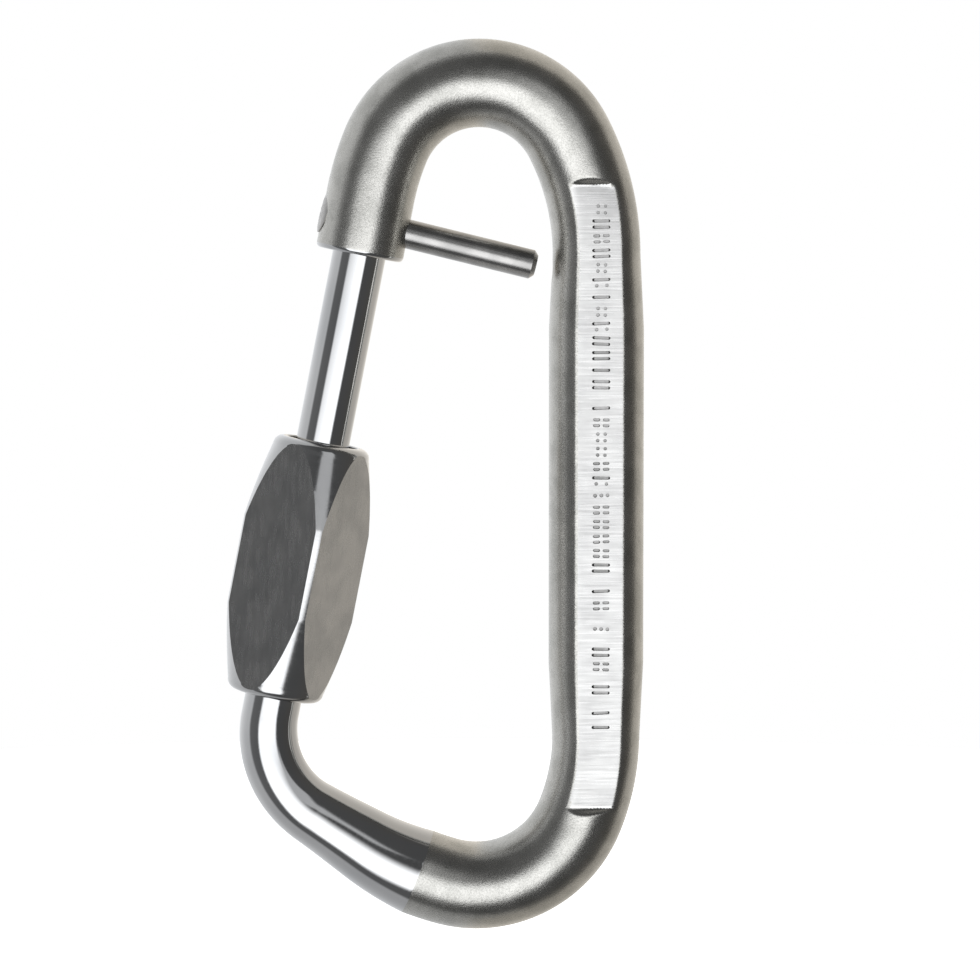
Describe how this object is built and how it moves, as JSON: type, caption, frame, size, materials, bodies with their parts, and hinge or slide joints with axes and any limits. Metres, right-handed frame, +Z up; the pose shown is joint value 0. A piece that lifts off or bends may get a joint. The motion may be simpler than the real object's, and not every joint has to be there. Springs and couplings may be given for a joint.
{
  "type": "screw link carabiner",
  "caption": "Asymmetric bent-bar steel link with a coined flat spine, a captive cross pin under its top bow and a screw sleeve that opens the gate.",
  "frame": {"origin": "centre of the top bow's bend, in the middle of the bar", "axes": "+Z up along the straight spine towards the top bow, +X from the gate to the spine, -Y towards the front, which carries the stamped flat"},
  "size_m": [0.0572, 0.0174, 0.1221],
  "materials": {
    "tumbled_steel": "tumbled matte stainless, with a fine grain",
    "polished_steel": "turned and polished",
    "pin_steel": "satin drawn pin",
    "sleeve_steel": "polished cones with milled flats"
  },
  "bodies": {
    "link": {"body": "tumbled_steel", "stud": "polished_steel", "cross_pin": "pin_steel"},
    "sleeve_carrier": {"sleeve_rim": "sleeve_steel"},
    "screw_sleeve": {"sleeve": "sleeve_steel"}
  },
  "joints": [
    {"name": "sleeve_travel", "type": "slide", "parent": "link", "child": "sleeve_carrier", "axis": [0.1925, 0, 0.9813], "range_m": [0, 0.0255]},
    {"name": "sleeve_turn", "type": "hinge", "parent": "sleeve_carrier", "child": "screw_sleeve", "pos_m": [-0.02477, 0, -0.05252], "axis": [0.1925, 0, 0.9813], "range_deg": [0, 6120]}
  ],
  "couplings": [
    {"joint": "sleeve_travel", "follows": "sleeve_turn", "m_per_rad": 0.00023873}
  ]
}
